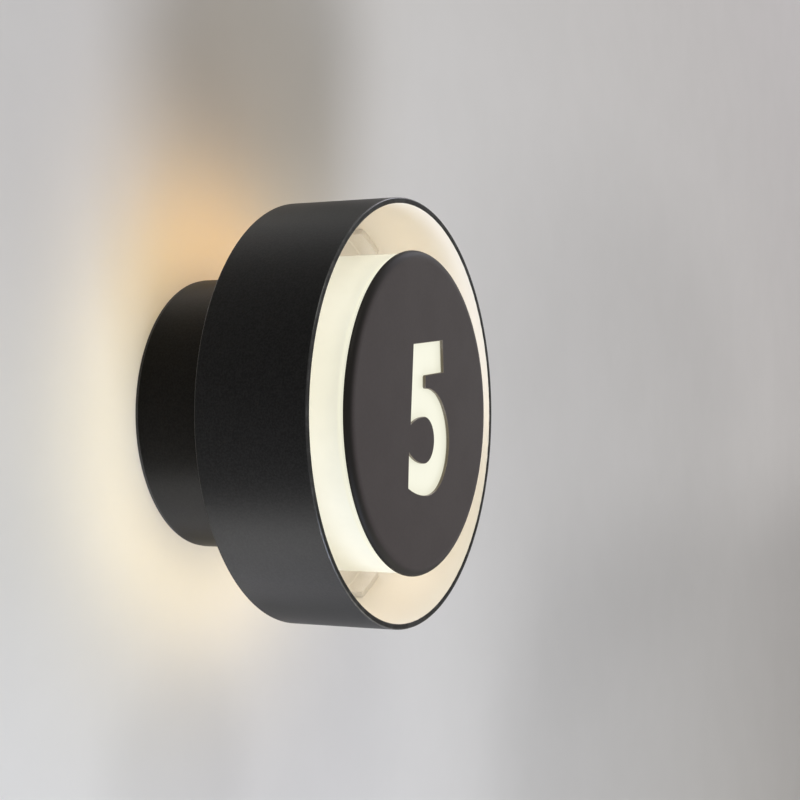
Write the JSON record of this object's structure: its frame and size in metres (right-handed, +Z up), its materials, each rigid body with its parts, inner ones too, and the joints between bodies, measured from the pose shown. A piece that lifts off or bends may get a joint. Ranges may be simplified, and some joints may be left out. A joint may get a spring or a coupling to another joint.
{
  "type": "outdoor wall light",
  "caption": "Round wall light: a drum base holds a wide open shade ring, a glowing opal diffuser and a face plate with a cut-out numeral.",
  "frame": {"origin": "centre of the wall face, midway between the two wall screws", "axes": "+Z up, the light faces -Y away from the wall, +X to the right seen from the front"},
  "size_m": [0.22, 0.127, 0.22],
  "materials": {
    "black_coat": "fine-textured black powder coat, matt",
    "ring_coat": "fine-textured black powder coat outside, smooth warm white inside",
    "white_coat": "warm white powder coat, satin",
    "face_coat": "warm dark grey, smooth satin coat",
    "opal": "opal white, silk-matt, lit from inside",
    "zinc_steel": "zinc-plated sheet steel",
    "screw_steel": "stainless, turned",
    "brass": "plated brass",
    "rubber": "matt rubber",
    "driver_plastic": "fine-grained white plastic",
    "block_plastic": "natural polyamide",
    "board": "white solder mask",
    "led": "yellow phosphor in a white frame",
    "lead_insulation": "coloured insulation"
  },
  "bodies": {
    "bracket": {"wall_bracket": "zinc_steel", "bracket_earth_screw": "brass", "cable_grommet": "rubber"},
    "housing": {"base_cup": "black_coat", "wall_gasket": "rubber", "driver_case": "driver_plastic", "driver_screws": "screw_steel", "terminal_block": "block_plastic", "terminal_screws": "screw_steel", "housing_earth_screw": "brass", "earth_lead": "lead_insulation", "mains_leads": "lead_insulation", "led_leads": "lead_insulation", "lead_grommet": "rubber", "shade_ring": "ring_coat", "shade_arms": "white_coat", "tray_screws": "screw_steel", "led_tray": "white_coat", "tray_seal": "rubber", "led_board": "board", "board_screws": "screw_steel", "leds": "led", "board_connector": "block_plastic"},
    "top_screw": {"lock_screw_top": "screw_steel"},
    "bottom_screw": {"lock_screw_bottom": "screw_steel"},
    "diffuser_cap": {"diffuser": "opal", "face_plate": "face_coat", "face_studs": "screw_steel", "face_nuts": "screw_steel"}
  },
  "joints": [
    {"name": "housing_slide", "type": "slide", "parent": "bracket", "child": "housing", "axis": [0, -1, 0], "range_m": [0, 0.02]},
    {"name": "top_screw_slide", "type": "slide", "parent": "housing", "child": "top_screw", "axis": [0, 0, 1], "range_m": [0, 0.003]},
    {"name": "bottom_screw_slide", "type": "slide", "parent": "housing", "child": "bottom_screw", "axis": [0, 0, -1], "range_m": [0, 0.003]},
    {"name": "diffuser_twist", "type": "hinge", "parent": "housing", "child": "diffuser_cap", "pos_m": [0, -0.08, 0], "axis": [0, -1, 0], "range_deg": [0, 25]}
  ]
}
